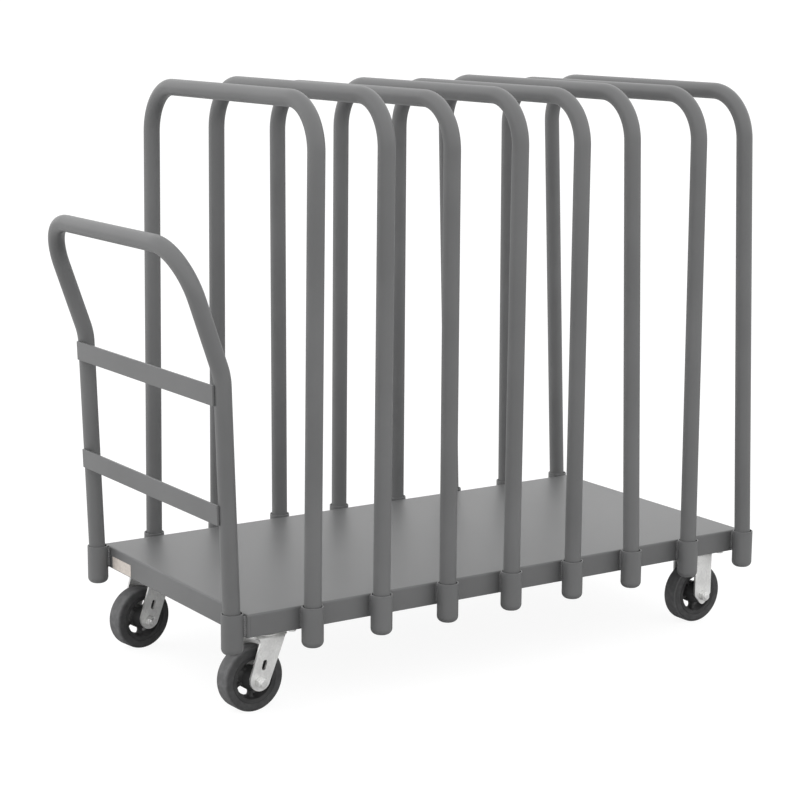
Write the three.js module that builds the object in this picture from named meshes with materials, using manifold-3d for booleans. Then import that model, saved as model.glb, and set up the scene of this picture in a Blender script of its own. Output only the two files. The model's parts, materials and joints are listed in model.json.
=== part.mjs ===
// Sheet goods cart: a folded steel deck on two swivel and two rigid casters, with
// lift-out pipe loops and a lift-out push handle standing in welded sockets.
// Millimetres, +Z up. X runs along the deck with the handle at -X, and Z = 0 is the floor.
import * as THREE from 'three';
import { mergeVertices } from 'three/addons/utils/BufferGeometryUtils.js';
import Module from 'manifold-3d';

const wasm = await Module();
wasm.setup();

// Clearances
const FIT_GAP = 0.3; // between pieces that seat on, pass through or are welded to each other
const HUB_PLAY = 1; // each side of the hub, between the fork's legs

// Deck and the bolsters under it
const DECK_LENGTH = 1219.2;
const DECK_WIDTH = 609.6;
const DECK_SHEET = 2.7;
const SKIRT_DEPTH = 44.45;
const FOLD_INSIDE = 1.3; // inside radius of the deck's folds
const BOLSTER_WIDTH = 127;
const BOLSTER_SHEET = 4.8;

// Pipe and its sockets
const PIPE_OD = 33.4;
const PIPE_WALL = 2.8;
const SOCKET_PLAY = 3.8; // socket bore over pipe
const SOCKET_WALL = 2.5;
const SOCKET_FLOOR = 10;
const SOCKET_DEPTH = 69; // inside, from floor to rim
const SOCKET_RISE = 3; // rim above the deck

// Loops
const LOOP_PITCH = 153.9;
const LOOP_END_INSET = 13.1; // from the deck's far end to the last loop
const LOOP_HEIGHT = 940; // from the deck to the centre line of the top run
const LOOP_BEND = 94;
// Shares of the free lean, positive to the far end, from the handle to the far end
const LOOP_LEANS = [0.2, 0.12, -0.05, 0.08, 0, -0.69, -0.19, -0.94];

// Handle
const HANDLE_INSET = 17.8; // from the deck's long side to the leg's centre line
const HANDLE_LEAN = -0.735; // share of the free lean
const HANDLE_KNEE_HEIGHT = 450; // from the deck to the corner where the legs bend back
const HANDLE_KNEE_BEND = 120;
const HANDLE_KNEE_ANGLE = THREE.MathUtils.degToRad(17.2);
const HANDLE_REACH = 250; // from that corner to the centre line of the grip
const HANDLE_CORNER = 100;
const BAR_HEIGHT = 38.1;
const BAR_SHEET = 4.8;
const UPPER_BAR_HEIGHT = 416.5; // from the deck to the bar's middle
const LOWER_BAR_HEIGHT = 192.5;

// Casters
const CASTER_HEIGHT = 165.1; // from the floor to the top of the plate
const CASTER_END_INSET = 72; // from the deck's end to the middle of the plate
const CASTER_SIDE_INSET = 69.85;
const SWIVEL_TRAIL = 28.6;
const SWIVEL_TURN_NEAR = THREE.MathUtils.degToRad(2.5); // as it stands, from straight behind
const SWIVEL_TURN_FAR = THREE.MathUtils.degToRad(8);
const PLATE_LENGTH = 114.3;
const PLATE_WIDTH = 101.6;
const PLATE_SHEET = 6.35;
const PLATE_CORNER = 10;
const RACE_DIAMETER = 72;
const RACE_HEIGHT = 6.5;
const KINGPIN_DIAMETER = 12.7;
const KINGPIN_HEAD_DIAMETER = 23;
const KINGPIN_HEAD_HEIGHT = 8;
const FORK_SHEET = 4.8;
const SWIVEL_LEG_TOP = 52;
const SWIVEL_FLARE = 8; // radius where a leg widens into the crown
const SWIVEL_LEG_END = 44;
const RIGID_LEG_TOP = 45;
const RIGID_LEG_END = 42;
const RIGID_FLARE = 5;
const LEG_END_RISE = 4; // from the axle up to the middle of a leg's round end
const SLOT_WIDTH = 9;
const SLOT_LENGTH = 20;
const SLOT_RISE = 33.5; // from the axle to the middle of the slot, up the leg's middle line

// Wheels and axles
const WHEEL_DIAMETER = 127;
const TREAD_WIDTH = 38;
const TREAD_CORNER = 4;
const TYRE_DEPTH = 16.5;
const RIM_DEPTH = 12.5;
const BOSS_DIAMETER = 46;
const BOSS_LENGTH = 62;
const SPOKES = 5;
const SPOKE_WIDTH = 10;
const SPOKE_DEPTH = 14;
const AXLE_DIAMETER = 12.7;
const SLEEVE_WALL = 3.2;
const NUT_ACROSS_FLATS = 19;
const NUT_HEIGHT = 11;
const HEAD_HEIGHT = 8;
const AXLE_TAIL = 3; // bolt end past the nut

// Facets
const PIPE_SIDES = 12;
const WHEEL_SIDES = 20;
const PIN_SIDES = 12;
const HEX_SIDES = 6;
const BEND_STEP = THREE.MathUtils.degToRad(22.5);
const LEAST_BEND_STEPS = 2;
const MERGE_DISTANCE = 1e-4; // corners nearer than this are one corner

// Levels and places worked out from the sizes above
const SKIRT_BOTTOM = CASTER_HEIGHT;
const DECK_TOP = SKIRT_BOTTOM + SKIRT_DEPTH;
const DECK_UNDERSIDE = DECK_TOP - DECK_SHEET;
const PIPE_RADIUS = PIPE_OD / 2;
const HANDLE_SPACING = DECK_WIDTH - 2 * HANDLE_INSET;
const SOCKET_BORE = PIPE_OD + SOCKET_PLAY;
const SOCKET_RADIUS = SOCKET_BORE / 2 + SOCKET_WALL;
const SOCKET_RIM = DECK_TOP + SOCKET_RISE;
const SOCKET_SEAT = SOCKET_RIM - SOCKET_DEPTH;
const SOCKET_STANDOFF = SOCKET_RADIUS + FIT_GAP; // skirt face to socket axis
const FREE_LEAN = Math.atan((SOCKET_PLAY - 2 * FIT_GAP) / SOCKET_DEPTH);
const WHEEL_RADIUS = WHEEL_DIAMETER / 2;
const FORK_INSIDE = BOSS_LENGTH / 2 + HUB_PLAY; // wheel's middle to a leg's inner face
const FORK_OUTSIDE = FORK_INSIDE + FORK_SHEET;
const AXLE_RADIUS = AXLE_DIAMETER / 2;
const SLEEVE_RADIUS = AXLE_RADIUS + FIT_GAP + SLEEVE_WALL;
const PLATE_UNDERSIDE = CASTER_HEIGHT - PLATE_SHEET;
const CROWN_TOP = PLATE_UNDERSIDE - RACE_HEIGHT - FIT_GAP;

// Materials
const PAINT = { color: 0x87898b, roughness: 0.55, metalness: 0.1 };
const ZINC = { color: 0xc9cbcc, roughness: 0.35, metalness: 0.9 };
const IRON = { color: 0x2c2d2f, roughness: 0.6, metalness: 0.3 };
const RUBBER = { color: 0x3b3c3e, roughness: 0.85, metalness: 0 };

// Put a named mesh with a material of its own into a group
function add(group, name, geometry, look) {
  const mesh = new THREE.Mesh(geometry, new THREE.MeshStandardMaterial(look));
  mesh.name = name;
  group.add(mesh);
}

// Turn a closed three.js geometry into a solid that can be cut and joined
function solid(geometry) {
  const bare = geometry.index ? geometry.toNonIndexed() : geometry.clone();
  bare.deleteAttribute('normal');
  bare.deleteAttribute('uv');
  const merged = mergeVertices(bare, MERGE_DISTANCE);
  const vertProperties = new Float32Array(merged.attributes.position.array);
  const triVerts = new Uint32Array(merged.index.array);
  return new wasm.Manifold(new wasm.Mesh({ numProp: 3, vertProperties, triVerts }));
}

// Turn a solid back into a three.js geometry
function geometryOf(body) {
  const mesh = body.getMesh();
  const geometry = new THREE.BufferGeometry();
  const positions = new Float32Array(mesh.vertProperties);
  geometry.setAttribute('position', new THREE.BufferAttribute(positions, 3));
  geometry.setIndex(new THREE.BufferAttribute(new Uint32Array(mesh.triVerts), 1));
  geometry.computeVertexNormals();
  return geometry;
}

// A revolved piece round Z from a closed or on-axis profile of [radius, height] points.
// Its flats, not its corners, lie at the radii given, and one flat faces each of X and Y.
function revolve(profile, sides) {
  const outset = 1 / Math.cos(Math.PI / sides);
  const points = profile.map(([radius, height]) => new THREE.Vector2(radius * outset, height));
  const geometry = new THREE.LatheGeometry(points, sides, Math.PI / sides);
  return geometry.rotateX(Math.PI / 2);
}

// A solid round bar or bore on the Z axis
function rod(radius, bottom, top, sides = PIN_SIDES) {
  return solid(revolve([[0, bottom], [radius, bottom], [radius, top], [0, top]], sides));
}

// A washer-shaped profile for revolve
function ringProfile(inner, outer, bottom, top) {
  return [[inner, bottom], [outer, bottom], [outer, top], [inner, top], [inner, bottom]];
}

// Points of an arc, for profiles
function arc(centreX, centreY, radius, from, to, steps) {
  return Array.from({ length: steps + 1 }, (_, i) => {
    const angle = from + ((to - from) * i) / steps;
    return [centreX + radius * Math.cos(angle), centreY + radius * Math.sin(angle)];
  });
}

// A shape drawn in X and Z, extruded along Y from one value to another
function plateAlongY(shape, fromY, toY, curveSegments = 3) {
  const depth = toY - fromY;
  const geometry = new THREE.ExtrudeGeometry(shape, { depth, bevelEnabled: false, curveSegments });
  return geometry.rotateX(Math.PI / 2).translate(0, toY, 0);
}

// A shape drawn in X and Y, extruded along Z from one value to another
function plateAlongZ(shape, fromZ, toZ, curveSegments) {
  const depth = toZ - fromZ;
  const geometry = new THREE.ExtrudeGeometry(shape, { depth, bevelEnabled: false, curveSegments });
  return geometry.translate(0, 0, fromZ);
}

// A route of straight runs and round bends that is sampled only where it turns
class PipeRoute extends THREE.Curve {
  constructor(corners, radii) {
    super();
    this.stations = [];
    const heading = (i) => corners[i + 1].clone().sub(corners[i]).normalize();
    this.stations.push({ point: corners[0], tangent: heading(0) });
    radii.forEach((radius, i) => {
      this.addBend(corners[i + 1], heading(i), heading(i + 1), radius);
    });
    this.stations.push({ point: corners.at(-1), tangent: heading(corners.length - 2) });
  }

  addBend(corner, before, after, radius) {
    const turn = before.angleTo(after);
    const inward = after.clone().addScaledVector(before, -after.dot(before)).normalize();
    const start = corner.clone().addScaledVector(before, -radius * Math.tan(turn / 2));
    const steps = Math.max(LEAST_BEND_STEPS, Math.round(turn / BEND_STEP));
    for (let i = 0; i <= steps; i += 1) {
      const angle = (turn * i) / steps;
      const point = start.clone().addScaledVector(before, radius * Math.sin(angle));
      point.addScaledVector(inward, radius * (1 - Math.cos(angle)));
      const tangent = before.clone().multiplyScalar(Math.cos(angle));
      tangent.addScaledVector(inward, Math.sin(angle));
      this.stations.push({ point, tangent });
    }
  }

  get steps() {
    return this.stations.length - 1;
  }

  getPointAt(u) {
    return this.stations[Math.round(u * this.steps)].point.clone();
  }

  getTangentAt(u) {
    return this.stations[Math.round(u * this.steps)].tangent.clone();
  }
}

// A hollow pipe along a route
function bentPipe(corners, radii) {
  const section = new THREE.Shape().absarc(0, 0, PIPE_RADIUS, 0, 2 * Math.PI);
  section.holes.push(new THREE.Path().absarc(0, 0, PIPE_RADIUS - PIPE_WALL, 0, 2 * Math.PI, true));
  const route = new PipeRoute(corners, radii);
  return new THREE.ExtrudeGeometry(section, {
    steps: route.steps,
    extrudePath: route,
    curveSegments: PIPE_SIDES / 2,
  });
}

// A slab with a plain underside and its four top edges rounded, standing on Z = bottom
function foldedSlab(length, width, bottom, top, radius) {
  const profile = (span) => {
    const shape = new THREE.Shape();
    shape.moveTo(-span / 2, bottom);
    shape.lineTo(span / 2, bottom);
    shape.absarc(span / 2 - radius, top - radius, radius, 0, Math.PI / 2);
    shape.absarc(-span / 2 + radius, top - radius, radius, Math.PI / 2, Math.PI);
    return shape;
  };
  const across = plateAlongY(profile(length), -width / 2, width / 2, 1);
  const along = plateAlongY(profile(width), -length / 2, length / 2, 1).rotateZ(Math.PI / 2);
  return solid(across).intersect(solid(along));
}

// The deck: a sheet folded down on all four sides
function makeDeck(cart) {
  const outer = foldedSlab(DECK_LENGTH, DECK_WIDTH, SKIRT_BOTTOM, DECK_TOP, FOLD_INSIDE + DECK_SHEET);
  const hollow = foldedSlab(
    DECK_LENGTH - 2 * DECK_SHEET,
    DECK_WIDTH - 2 * DECK_SHEET,
    SKIRT_BOTTOM - DECK_SHEET,
    DECK_UNDERSIDE,
    FOLD_INSIDE,
  );
  add(cart, 'deck', geometryOf(outer.subtract(hollow)), PAINT);
}

// A bolster: a channel across the deck, web down, that carries two caster plates
function makeBolster(cart, name, x) {
  const half = BOLSTER_WIDTH / 2;
  const floor = SKIRT_BOTTOM + BOLSTER_SHEET;
  const shape = new THREE.Shape([
    new THREE.Vector2(-half, SKIRT_BOTTOM),
    new THREE.Vector2(half, SKIRT_BOTTOM),
    new THREE.Vector2(half, DECK_UNDERSIDE),
    new THREE.Vector2(half - BOLSTER_SHEET, DECK_UNDERSIDE),
    new THREE.Vector2(half - BOLSTER_SHEET, floor),
    new THREE.Vector2(-half + BOLSTER_SHEET, floor),
    new THREE.Vector2(-half + BOLSTER_SHEET, DECK_UNDERSIDE),
    new THREE.Vector2(-half, DECK_UNDERSIDE),
  ]);
  const reach = DECK_WIDTH / 2 - DECK_SHEET - FOLD_INSIDE - FIT_GAP;
  add(cart, name, plateAlongY(shape, -reach, reach).translate(x, 0, 0), PAINT);
}

// A socket: a cup with a rounded foot, its flat side against the skirt
function makeSocket(cart, name, x, y) {
  const foot = SOCKET_SEAT - SOCKET_FLOOR;
  const corner = SOCKET_WALL + SOCKET_FLOOR;
  const bore = SOCKET_BORE / 2;
  const profile = [
    [0, foot],
    ...arc(SOCKET_RADIUS - corner, foot + corner, corner, -Math.PI / 2, 0, 2),
    [SOCKET_RADIUS, SOCKET_RIM],
    [bore, SOCKET_RIM],
    [bore, SOCKET_SEAT],
    [0, SOCKET_SEAT],
  ];
  add(cart, name, revolve(profile, PIPE_SIDES).translate(x, y, 0), PAINT);
}

// A group whose legs stand in sockets: it tips about the middle of their depth
function leaningGroup(cart, x, lean) {
  const group = new THREE.Group();
  group.position.set(x, 0, SOCKET_SEAT + SOCKET_DEPTH / 2);
  group.rotation.y = lean;
  cart.add(group);
  return group;
}

// Height of a leaning leg's end in its group, just clear of the socket's floor
function legEnd(lean) {
  return -SOCKET_DEPTH / 2 + FIT_GAP + PIPE_RADIUS * Math.sin(Math.abs(lean));
}

// A loop: one bent pipe across the deck, with a leg in a socket on each long side
function makeLoop(cart, name, x, lean) {
  const group = leaningGroup(cart, x, lean);
  const side = DECK_WIDTH / 2 + SOCKET_STANDOFF;
  const bottom = legEnd(lean);
  const top = DECK_TOP + LOOP_HEIGHT - group.position.z;
  const corners = [
    new THREE.Vector3(0, -side, bottom),
    new THREE.Vector3(0, -side, top),
    new THREE.Vector3(0, side, top),
    new THREE.Vector3(0, side, bottom),
  ];
  add(group, name, bentPipe(corners, [LOOP_BEND, LOOP_BEND]), PAINT);
}

// The push handle: a pipe whose legs bend back to the grip, and two flat bars welded across it
function makeHandle(cart, x) {
  const lean = HANDLE_LEAN * FREE_LEAN;
  const group = leaningGroup(cart, x, lean);
  const side = HANDLE_SPACING / 2;
  const fromDeck = DECK_TOP - group.position.z;
  const knee = fromDeck + HANDLE_KNEE_HEIGHT;
  const gripX = -HANDLE_REACH * Math.sin(HANDLE_KNEE_ANGLE);
  const gripZ = knee + HANDLE_REACH * Math.cos(HANDLE_KNEE_ANGLE);
  const corners = [
    new THREE.Vector3(0, -side, legEnd(lean)),
    new THREE.Vector3(0, -side, knee),
    new THREE.Vector3(gripX, -side, gripZ),
    new THREE.Vector3(gripX, side, gripZ),
    new THREE.Vector3(0, side, knee),
    new THREE.Vector3(0, side, legEnd(lean)),
  ];
  const radii = [HANDLE_KNEE_BEND, HANDLE_CORNER, HANDLE_CORNER, HANDLE_KNEE_BEND];
  add(group, 'handle_tube', bentPipe(corners, radii), PAINT);
  const bars = [['handle_bar_upper', UPPER_BAR_HEIGHT], ['handle_bar_lower', LOWER_BAR_HEIGHT]];
  for (const [name, height] of bars) {
    const bar = new THREE.BoxGeometry(BAR_SHEET, HANDLE_SPACING, BAR_HEIGHT);
    bar.translate(-PIPE_RADIUS - FIT_GAP - BAR_SHEET / 2, 0, fromDeck + height);
    add(group, name, bar, PAINT);
  }
}

// A caster's top plate with rounded corners, and a hole for the kingpin if it has one
function plateBody(holeRadius) {
  const halfX = PLATE_LENGTH / 2 - PLATE_CORNER;
  const halfY = PLATE_WIDTH / 2 - PLATE_CORNER;
  const shape = new THREE.Shape();
  shape.absarc(halfX, halfY, PLATE_CORNER, 0, Math.PI / 2);
  shape.absarc(-halfX, halfY, PLATE_CORNER, Math.PI / 2, Math.PI);
  shape.absarc(-halfX, -halfY, PLATE_CORNER, Math.PI, 1.5 * Math.PI);
  shape.absarc(halfX, -halfY, PLATE_CORNER, 1.5 * Math.PI, 2 * Math.PI);
  const plate = solid(plateAlongZ(shape, PLATE_UNDERSIDE, CASTER_HEIGHT, 1));
  if (holeRadius === 0) return plate;
  return plate.subtract(rod(holeRadius, 0, DECK_TOP));
}

// One leg of a fork: it widens into the crown at the top, and its straight sides run down to
// a round end about the axle. Their points of contact follow the trail.
function legShape(topWidth, endWidth, flare, trail, slotted) {
  const radius = endWidth / 2;
  const half = topWidth / 2;
  const axle = new THREE.Vector2(-trail, WHEEL_RADIUS);
  const crown = new THREE.Vector2(0, CROWN_TOP);
  const end = crown.clone().sub(axle).setLength(LEG_END_RISE).add(axle);
  const neck = CROWN_TOP - FORK_SHEET - flare;
  const tangentAngle = (x, side) => {
    const away = new THREE.Vector2(x, neck).sub(end);
    return away.angle() + side * Math.acos(radius / away.length());
  };
  const shape = new THREE.Shape();
  shape.moveTo(half + flare, CROWN_TOP);
  shape.lineTo(-half - flare, CROWN_TOP);
  shape.absarc(-half - flare, neck, flare, Math.PI / 2, 0, true);
  shape.absarc(end.x, end.y, radius, tangentAngle(-half, 1), tangentAngle(half, -1) + 2 * Math.PI);
  shape.absarc(half + flare, neck, flare, Math.PI, Math.PI / 2, true);
  if (slotted) shape.holes.push(slotPath(axle, crown));
  return shape;
}

// A slot with round ends on the line from the axle towards the middle of the crown
function slotPath(axle, crown) {
  const radius = SLOT_WIDTH / 2;
  const along = crown.clone().sub(axle).normalize();
  const turn = along.angle();
  const reach = SLOT_LENGTH / 2 - radius;
  const upper = axle.clone().addScaledVector(along, SLOT_RISE + reach);
  const lower = axle.clone().addScaledVector(along, SLOT_RISE - reach);
  const path = new THREE.Path();
  path.absarc(upper.x, upper.y, radius, turn + Math.PI / 2, turn - Math.PI / 2, true);
  path.absarc(lower.x, lower.y, radius, turn - Math.PI / 2, turn - 1.5 * Math.PI, true);
  return path;
}

// Both legs of a fork and the crown that joins them, open round the wheel
function forkBody(topWidth, endWidth, flare, trail, slotted) {
  const leg = legShape(topWidth, endWidth, flare, trail, slotted);
  const near = solid(plateAlongY(leg, -FORK_OUTSIDE, -FORK_INSIDE));
  const far = solid(plateAlongY(leg, FORK_INSIDE, FORK_OUTSIDE));
  const crown = new THREE.BoxGeometry(topWidth + 2 * flare, 2 * FORK_OUTSIDE, FORK_SHEET);
  crown.translate(0, 0, CROWN_TOP - FORK_SHEET / 2);
  const axleBore = geometryOf(rod(AXLE_RADIUS + FIT_GAP, -2 * FORK_OUTSIDE, 2 * FORK_OUTSIDE));
  return solid(crown).add(near).add(far).subtract(solid(ontoAxle(axleBore, trail)));
}

// The plate of a swivel caster, with the upper raceway under it, and the kingpin through both
function makeSwivelMount(caster, name) {
  const pin = KINGPIN_DIAMETER / 2;
  const raceBottom = PLATE_UNDERSIDE - RACE_HEIGHT;
  const race = ringProfile(pin + FIT_GAP, RACE_DIAMETER / 2, raceBottom, PLATE_UNDERSIDE);
  const plate = plateBody(pin + FIT_GAP).add(solid(revolve(race, PIN_SIDES)));
  add(caster, `${name}_plate`, geometryOf(plate), ZINC);
  const head = KINGPIN_HEAD_DIAMETER / 2;
  const headTop = CROWN_TOP - FORK_SHEET - FIT_GAP;
  const profile = [
    [0, headTop - KINGPIN_HEAD_HEIGHT],
    [head, headTop - KINGPIN_HEAD_HEIGHT],
    [head, headTop],
    [pin, headTop],
    [pin, CASTER_HEIGHT],
    [0, CASTER_HEIGHT],
  ];
  add(caster, `${name}_kingpin`, revolve(profile, PIN_SIDES), ZINC);
}

// The fork of a swivel caster, with the lower raceway round its kingpin hole
function makeSwivelFork(caster, name) {
  const race = rod(RACE_DIAMETER / 2, CROWN_TOP - FORK_SHEET, CROWN_TOP);
  const bore = rod(KINGPIN_DIAMETER / 2 + FIT_GAP, 0, DECK_TOP);
  const fork = forkBody(SWIVEL_LEG_TOP, SWIVEL_LEG_END, SWIVEL_FLARE, SWIVEL_TRAIL, true);
  add(caster, `${name}_fork`, geometryOf(fork.add(race).subtract(bore)), ZINC);
}

// The fork of a rigid caster: its legs and crown carried up to a plate of its own
function makeRigidFork(caster, name) {
  const neckLength = RIGID_LEG_TOP + 2 * RIGID_FLARE;
  const neck = new THREE.BoxGeometry(neckLength, 2 * FORK_OUTSIDE, PLATE_UNDERSIDE - CROWN_TOP);
  neck.translate(0, 0, (PLATE_UNDERSIDE + CROWN_TOP) / 2);
  const fork = forkBody(RIGID_LEG_TOP, RIGID_LEG_END, RIGID_FLARE, 0, false);
  add(caster, `${name}_fork`, geometryOf(fork.add(solid(neck)).add(plateBody(0))), ZINC);
}

// Turn a piece made round Z so that it lies along Y, centred on the axle
function ontoAxle(geometry, trail) {
  return geometry.rotateX(-Math.PI / 2).translate(-trail, 0, WHEEL_RADIUS);
}

// A spoked hub: boss, rim and straight spokes between them
function hubBody() {
  const bore = SLEEVE_RADIUS + FIT_GAP;
  const bossEnd = BOSS_LENGTH / 2;
  const boss = ringProfile(bore, BOSS_DIAMETER / 2, -bossEnd, bossEnd);
  const rimOuter = WHEEL_RADIUS - TYRE_DEPTH;
  const rimInner = rimOuter - RIM_DEPTH;
  const rim = ringProfile(rimInner, rimOuter, -TREAD_WIDTH / 2, TREAD_WIDTH / 2);
  let hub = solid(revolve(boss, PIN_SIDES)).add(solid(revolve(rim, WHEEL_SIDES)));
  const from = (bore + BOSS_DIAMETER / 2) / 2;
  const to = (rimInner + rimOuter) / 2;
  for (let i = 0; i < SPOKES; i += 1) {
    const spoke = new THREE.BoxGeometry(to - from, SPOKE_WIDTH, SPOKE_DEPTH);
    spoke.translate((from + to) / 2, 0, 0).rotateZ((2 * Math.PI * i) / SPOKES + Math.PI / 2);
    hub = hub.add(solid(spoke));
  }
  return hub;
}

// A wheel and its axle: hub, tyre, sleeve, bolt and nut
function makeWheel(caster, name, trail) {
  add(caster, `${name}_hub`, ontoAxle(geometryOf(hubBody()), trail), IRON);
  const half = TREAD_WIDTH / 2;
  const inner = WHEEL_RADIUS - TYRE_DEPTH + FIT_GAP;
  const shoulder = WHEEL_RADIUS - TREAD_CORNER;
  const tyre = [
    [inner, -half],
    ...arc(shoulder, -half + TREAD_CORNER, TREAD_CORNER, -Math.PI / 2, 0, 2),
    ...arc(shoulder, half - TREAD_CORNER, TREAD_CORNER, 0, Math.PI / 2, 2),
    [inner, half],
    [inner, -half],
  ];
  add(caster, `${name}_tyre`, ontoAxle(revolve(tyre, WHEEL_SIDES), trail), RUBBER);
  const sleeveEnd = FORK_INSIDE - FIT_GAP;
  const sleeve = ringProfile(AXLE_RADIUS + FIT_GAP, SLEEVE_RADIUS, -sleeveEnd, sleeveEnd);
  add(caster, `${name}_sleeve`, ontoAxle(revolve(sleeve, PIN_SIDES), trail), ZINC);
  const seat = FORK_OUTSIDE + FIT_GAP;
  const tail = -seat - NUT_HEIGHT - AXLE_TAIL;
  const flats = NUT_ACROSS_FLATS / 2;
  const hexHead = rod(flats, seat, seat + HEAD_HEIGHT, HEX_SIDES);
  const bolt = rod(AXLE_RADIUS, tail, seat).add(hexHead);
  add(caster, `${name}_axle_bolt`, ontoAxle(geometryOf(bolt), trail), ZINC);
  const nutBore = rod(AXLE_RADIUS + FIT_GAP, 2 * tail, seat);
  const nut = rod(flats, -seat - NUT_HEIGHT, -seat, HEX_SIDES).subtract(nutBore);
  add(caster, `${name}_axle_nut`, ontoAxle(geometryOf(nut), trail), ZINC);
}

// A caster's parts under the deck, turned about the middle of its plate
function casterGroup(cart, x, y, turn) {
  const caster = new THREE.Group();
  caster.position.set(x, y, 0);
  caster.rotation.z = turn;
  cart.add(caster);
  return caster;
}

// The whole cart
const cart = new THREE.Group();
const casterX = DECK_LENGTH / 2 - CASTER_END_INSET;
const casterY = DECK_WIDTH / 2 - CASTER_SIDE_INSET;
makeDeck(cart);
makeBolster(cart, 'bolster_handle_end', -casterX);
makeBolster(cart, 'bolster_far_end', casterX);

const sideSocketY = DECK_WIDTH / 2 + SOCKET_STANDOFF;
const lastLoopX = DECK_LENGTH / 2 - LOOP_END_INSET;
LOOP_LEANS.forEach((share, i) => {
  const x = lastLoopX - (LOOP_LEANS.length - 1 - i) * LOOP_PITCH;
  makeSocket(cart, `socket_near_${i + 1}`, x, -sideSocketY);
  makeSocket(cart, `socket_far_${i + 1}`, x, sideSocketY);
  makeLoop(cart, `loop_${i + 1}`, x, share * FREE_LEAN);
});

const handleX = -DECK_LENGTH / 2 - SOCKET_STANDOFF;
makeSocket(cart, 'socket_handle_near', handleX, -HANDLE_SPACING / 2);
makeSocket(cart, 'socket_handle_far', handleX, HANDLE_SPACING / 2);
makeHandle(cart, handleX);

const casterSides = [['near', -casterY, SWIVEL_TURN_NEAR], ['far', casterY, SWIVEL_TURN_FAR]];
for (const [side, y, turn] of casterSides) {
  const swivel = casterGroup(cart, -casterX, y, 0);
  makeSwivelMount(swivel, `swivel_${side}`);
  const turned = casterGroup(cart, -casterX, y, turn);
  makeSwivelFork(turned, `swivel_${side}`);
  makeWheel(turned, `swivel_${side}`, SWIVEL_TRAIL);
  const rigid = casterGroup(cart, casterX, y, 0);
  makeRigidFork(rigid, `rigid_${side}`);
  makeWheel(rigid, `rigid_${side}`, 0);
}

// Stand the cart on the floor with the middle of its box over the origin
const box = new THREE.Box3().setFromObject(cart, true);
cart.position.x = -(box.min.x + box.max.x) / 2;

const frame = new THREE.Group();
frame.add(cart);

export default frame;
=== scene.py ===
import json
import math

import bmesh
import bpy
import numpy as np
from bpy.props import FloatProperty, FloatVectorProperty, IntProperty, PointerProperty
from mathutils import Matrix, Vector

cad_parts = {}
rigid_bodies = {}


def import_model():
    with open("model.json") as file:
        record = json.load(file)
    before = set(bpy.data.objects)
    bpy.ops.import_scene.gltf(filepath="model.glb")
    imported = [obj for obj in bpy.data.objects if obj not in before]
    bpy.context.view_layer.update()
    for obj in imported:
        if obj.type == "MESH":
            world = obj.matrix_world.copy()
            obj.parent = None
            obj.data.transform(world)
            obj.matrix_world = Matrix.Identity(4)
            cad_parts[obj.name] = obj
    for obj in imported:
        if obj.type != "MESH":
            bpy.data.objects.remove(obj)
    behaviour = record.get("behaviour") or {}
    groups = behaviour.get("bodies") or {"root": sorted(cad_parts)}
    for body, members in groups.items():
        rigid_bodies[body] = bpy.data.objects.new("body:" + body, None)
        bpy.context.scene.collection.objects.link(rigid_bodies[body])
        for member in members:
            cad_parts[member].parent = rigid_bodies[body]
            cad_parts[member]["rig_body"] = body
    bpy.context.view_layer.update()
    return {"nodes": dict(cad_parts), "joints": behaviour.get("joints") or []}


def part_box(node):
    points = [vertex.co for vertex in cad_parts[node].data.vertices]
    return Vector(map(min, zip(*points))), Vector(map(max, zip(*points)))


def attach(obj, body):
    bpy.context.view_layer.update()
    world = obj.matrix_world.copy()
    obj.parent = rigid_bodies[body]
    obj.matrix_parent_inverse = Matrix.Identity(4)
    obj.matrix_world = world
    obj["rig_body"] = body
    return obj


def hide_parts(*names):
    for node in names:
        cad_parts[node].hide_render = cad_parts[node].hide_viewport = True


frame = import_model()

bl_info = {
    "name": "Sheet goods cart",
    "version": (1, 0, 0),
    "blender": (4, 5, 0),
    "location": "3D View > Sidebar > Cart",
    "description": "Surfaces, finishes and stage for a sheet goods cart, round its CAD frame",
    "category": "Object",
}

JOINTS = {joint["name"]: joint for joint in frame["joints"]}
LOOPS = range(1, 9)
SIDES = ("near", "far")
CASTERS = ("swivel_near", "swivel_far", "rigid_near", "rigid_far")
AXIS_X, AXIS_Y, AXIS_Z = np.eye(3)
GROUND_PLAN = np.array([1, 1, 0])
MM = 0.001


def box(node):
    """Lowest and highest corner of a CAD node, as arrays."""
    low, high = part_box(node)
    return np.array(low), np.array(high)


def middle(node):
    """Middle of a CAD node's box."""
    return np.mean(box(node), axis=0)


def span(node, axis):
    """Size of a CAD node's box along an axis."""
    low, high = box(node)
    return float(high[axis] - low[axis])


def unit(vectors):
    """Vectors at length one. A vector of no length stays as it is."""
    size = np.linalg.norm(vectors, axis=-1, keepdims=True)
    return vectors / np.where(size > 1e-12, size, 1)


def mm(*values):
    """Lengths given in millimetres, in metres."""
    return [value * MM for value in values]


FIT_GAP = 0.3 * MM
MERGE_DISTANCE = 2e-6
SHARP_ANGLE = math.radians(38)
DECK_LOW, DECK_HIGH = box("deck")
PIPE_RADIUS = span("loop_5", 0) / 2
SOCKET_RADIUS = span("socket_near_2", 0) / 2
SOCKET_FOOT, SOCKET_RIM = (float(corner[2]) for corner in box("socket_near_1"))
WHEEL_RADIUS = span("rigid_near_tyre", 2) / 2
TREAD_WIDTH = span("rigid_near_tyre", 1)
AXLE_HEIGHT = float(middle("rigid_near_hub")[2])
FORK_INSIDE = span("rigid_near_sleeve", 1) / 2 + FIT_GAP

# How far each loop's top run stands above or below the set height.
LOOP_RISES = np.array([2, 5, -5, -2, -6, 0, -8, -4]) * MM

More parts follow.
